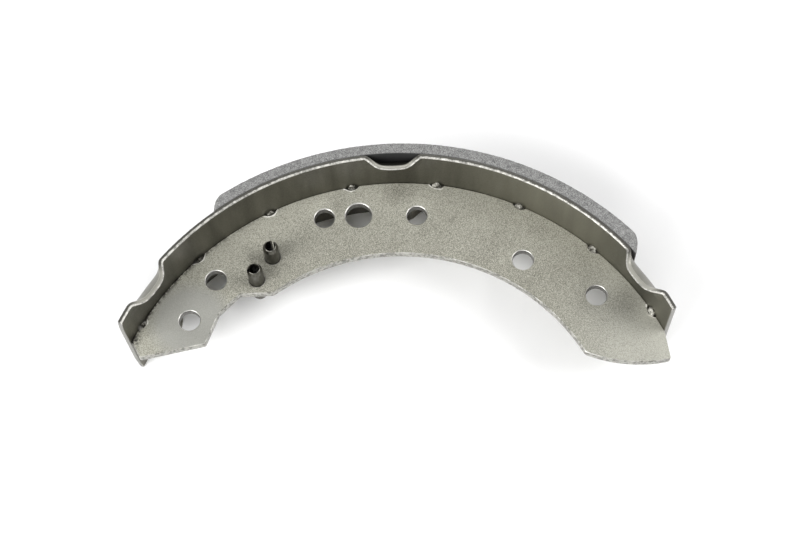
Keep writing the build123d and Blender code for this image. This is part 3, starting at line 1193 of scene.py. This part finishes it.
def weld_tree():
    """One rough lump on each weld."""
    tree, size = geometry_tree("weld lumps", weld_sizes)
    index = Field(node(tree, "GeometryNodeInputIndex").outputs[0])
    bearing = (index - (size["Count"] - 1.0) / 2.0) * size["Pitch"]
    x = size["Radius"] * bearing.sine() + drum_axis.x
    y = size["Radius"] * bearing.cosine() + drum_axis.y
    points = node(
        tree, "GeometryNodePoints", {"Count": size["Count"], "Position": joined(tree, x, y, 0.0)}
    ).outputs[0]
    ball = node(tree, "GeometryNodeMeshIcoSphere", {"Radius": 1.0, "Subdivisions": 5}).outputs[0]
    draw = {"Min": least_stretch, "Max": most_stretch, "Seed": size["Seed"]}
    stretch = node(tree, "FunctionNodeRandomValue", draw, data_type="FLOAT_VECTOR").outputs[0]
    grown = index / (size["Count"] - 1.0) * lump_growth + smallest_lump
    lump = scaled(tree, size["Lump"], grown)
    scale = node(tree, "ShaderNodeVectorMath", {0: stretch, 1: lump}, operation="MULTIPLY")
    placed = node(
        tree, "GeometryNodeInstanceOnPoints",
        {
            "Points": points, "Instance": ball, "Scale": scale.outputs[0],
            "Rotation": joined(tree, 0.0, 0.0, -bearing),
        },
    ).outputs[0]
    real = node(tree, "GeometryNodeRealizeInstances", {"Geometry": placed}).outputs[0]
    place = node(tree, "GeometryNodeInputPosition").outputs[0]
    rough = Field(node(
        tree, "ShaderNodeTexNoise", {"Vector": place, "Scale": 1 / (1.8 * MM), "Detail": 1.0}
    ).outputs[0]).share(0.25, 0.75)
    normal = node(tree, "GeometryNodeInputNormal").outputs[0]
    push = scaled(tree, normal, -rough * size["Roughness"])
    moved = node(tree, "GeometryNodeSetPosition", {"Geometry": real, "Offset": push}).outputs[0]
    end_tree(tree, moved, size["Metal"])
    return tree


welds = grow("weld_lumps", weld_tree(), weld_sizes, sharp=80)

# %% [markdown]
# The spring pins are strips of spring steel rolled into a tube that doesn't quite close, so that
# they can be driven into a hole and grip it. The slot is as wide at the bore as outside, and both
# ends are drawn in to a lead. A cylinder would need its slot cut out, but a tube with a slot is
# also a box bent nearly full circle, and one tree makes both pins.

# %% Spring pins
pin_rows = (72, 6, 56)
pin_sizes = {
    "Centre X": 0.0,
    "Centre Y": 0.0,
    "Slot Bearing": 0.0,
    "Radius": pin_diameter / 2 * MM,
    "Wall": 1.1 * MM,
    "Reach": pin_reach,
    "Slot": 1.2 * MM,
    "Lead Length": 1.5 * MM,
    "Lead Depth": 0.7 * MM,
    "Edge Radius": 0.18 * MM,
    "Steel": spring_steel,
}
pin_slot_bearings = {"inner_pin": -105.0, "outer_pin": 20.0}


def pin_tree():
    """A box bent to a slotted tube with a lead at both ends."""
    tree, size = geometry_tree("slotted tube", pin_sizes)
    box, (around, through, along) = fine_box(tree, pin_rows)
    from_middle = crowded(along)
    height = from_middle * size["Reach"]
    to_tip = size["Reach"] - height.size()
    lead = ((size["Lead Length"] - to_tip) / size["Lead Length"]).most(0.0)
    outer = size["Radius"] - lead * size["Lead Depth"] - edge_round(to_tip, size["Edge Radius"])
    inner = size["Radius"] - size["Wall"] + edge_round(to_tip, size["Edge Radius"])
    radius = inner + (outer - inner) * ((through + 1.0) / 2.0)
    half_turn = -(size["Slot"] / 2.0 / radius).arcsine() + math.pi
    turn = crowded_ends(around, 0.9) * half_turn + math.pi + size["Slot Bearing"]
    x = radius * turn.sine() + size["Centre X"]
    y = radius * turn.cosine() + size["Centre Y"]
    marked = keep(tree, box, "inside", (-through).most(around.size()).share(0.96, 1.0))
    moved = put(tree, marked, x, y, height)
    end_tree(tree, moved, size["Steel"])
    return tree


slotted_tube = pin_tree()
pins = {}
for name, place in pin_places.items():
    centre = drum_axis + on_web(*place)
    sizes = dict(pin_sizes)
    sizes["Centre X"] = centre.x
    sizes["Centre Y"] = centre.y
    sizes["Slot Bearing"] = math.radians(pin_slot_bearings[name])
    pins[name] = grow(name + "_tube", slotted_tube, sizes)

# %% [markdown]
# Last, each piece is tied to the frame: it rides on the shoe's one body, and the CAD solids
# that the pieces dress are hidden.

# %% Tie the pieces to the frame
for piece, slot in ((rim, "rim_steel"), (lining, "friction_material"), (web, "web_steel"),
                    (welds, "web_steel"), (pins["inner_pin"], "spring_steel"),
                    (pins["outer_pin"], "spring_steel")):
    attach(piece, "root")
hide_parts("rim")
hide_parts("lining")
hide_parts("web")
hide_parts("inner_pin")
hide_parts("outer_pin")
